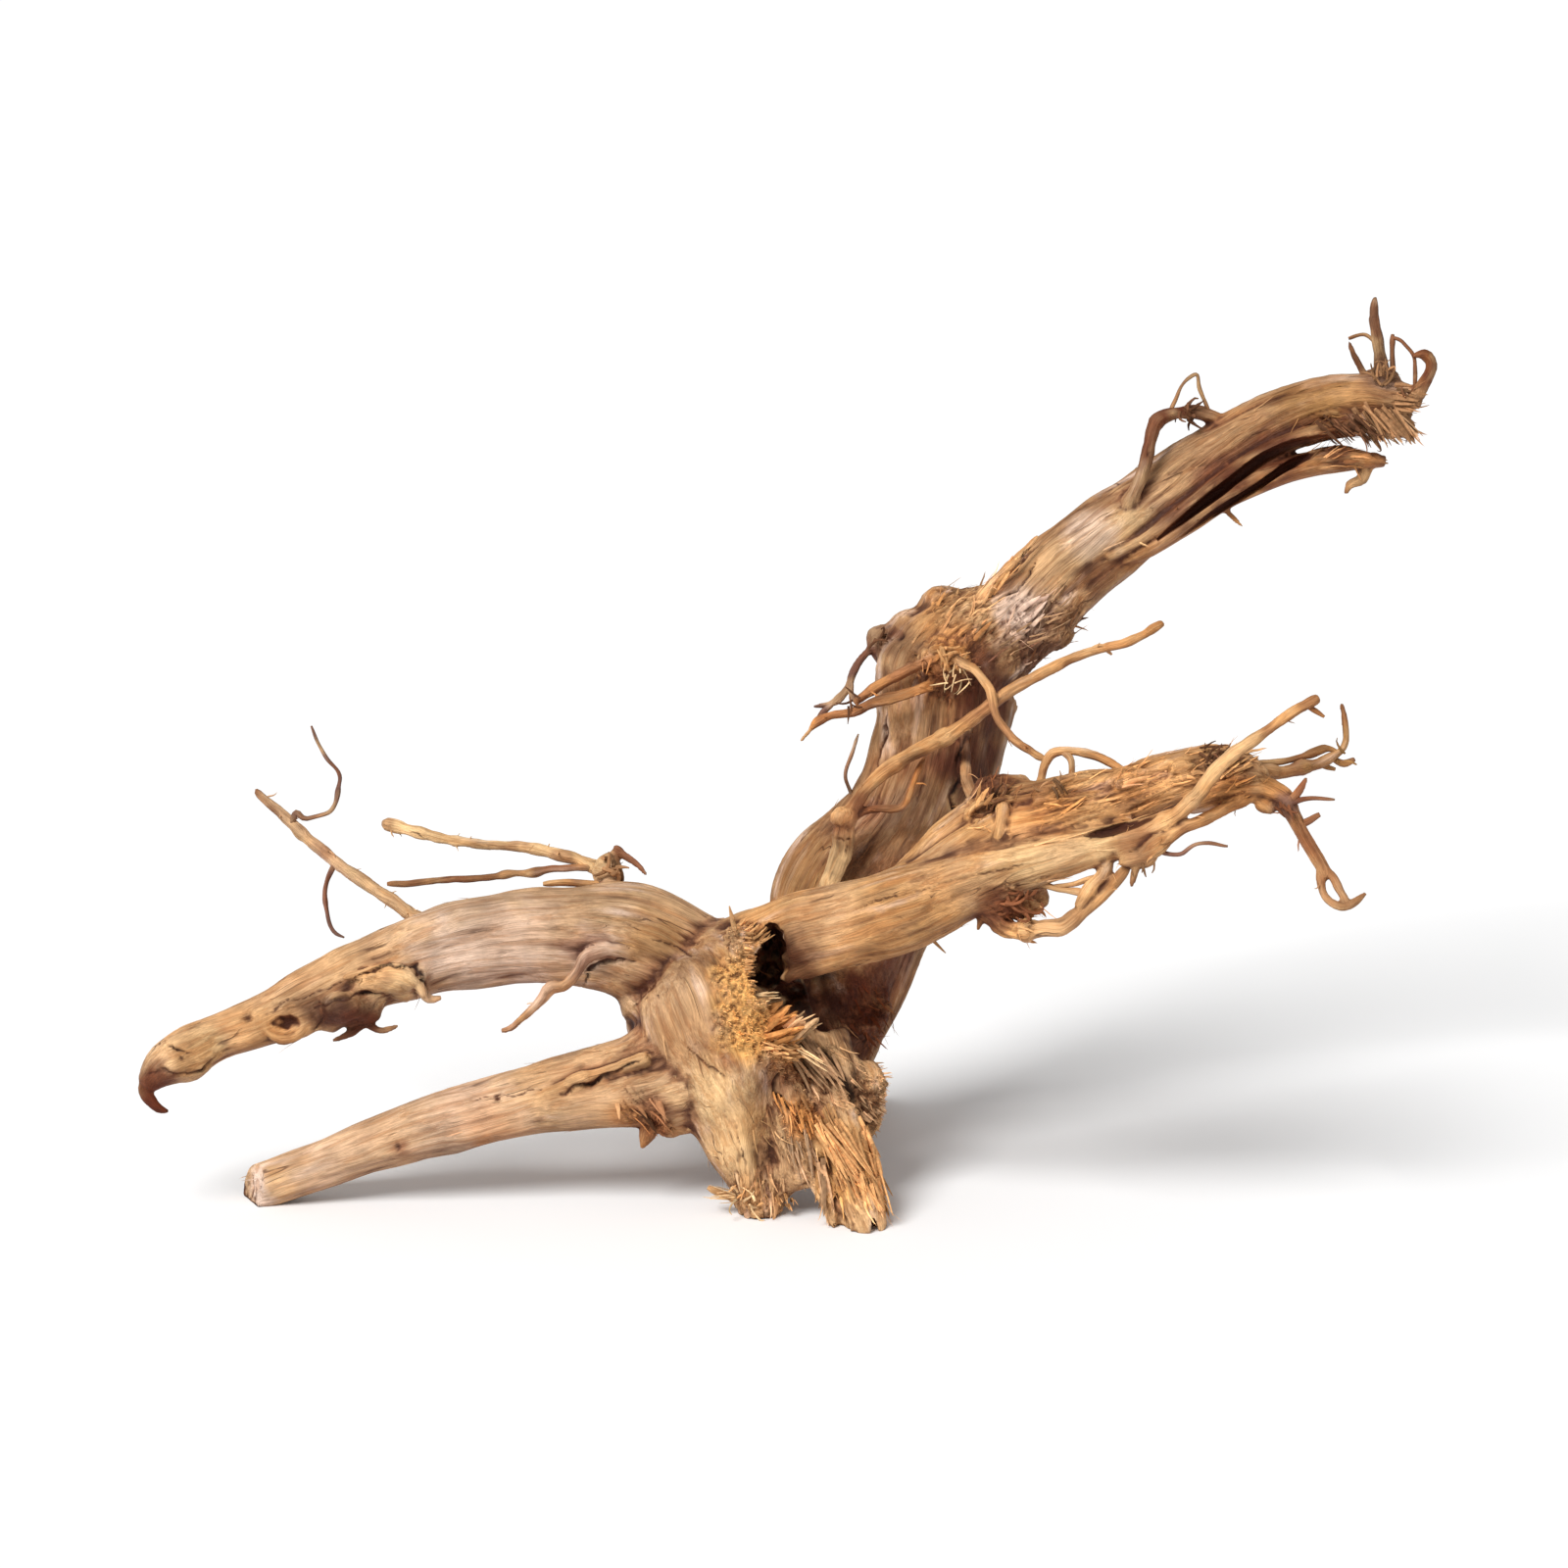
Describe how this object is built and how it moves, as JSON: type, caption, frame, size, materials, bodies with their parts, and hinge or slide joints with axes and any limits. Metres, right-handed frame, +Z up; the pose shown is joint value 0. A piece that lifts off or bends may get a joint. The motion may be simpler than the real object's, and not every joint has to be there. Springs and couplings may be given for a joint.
{
  "type": "bogwood root",
  "caption": "Weathered bogwood root: spreading arms, torn hollow hub, rising trunk, side branch and fine rootlets, standing on its broken foot and a rear leg.",
  "frame": {"origin": "on the ground under the front left lobe of the torn foot", "axes": "+X along the length of the root, from the arms towards the trunk's tip; +Y away from the viewer; +Z up"},
  "size_m": [0.4408, 0.1908, 0.2934],
  "materials": {
    "wood": "weathered, matt, fibrous"
  },
  "bodies": {
    "root": {"bogwood_root": "wood"}
  },
  "joints": []
}
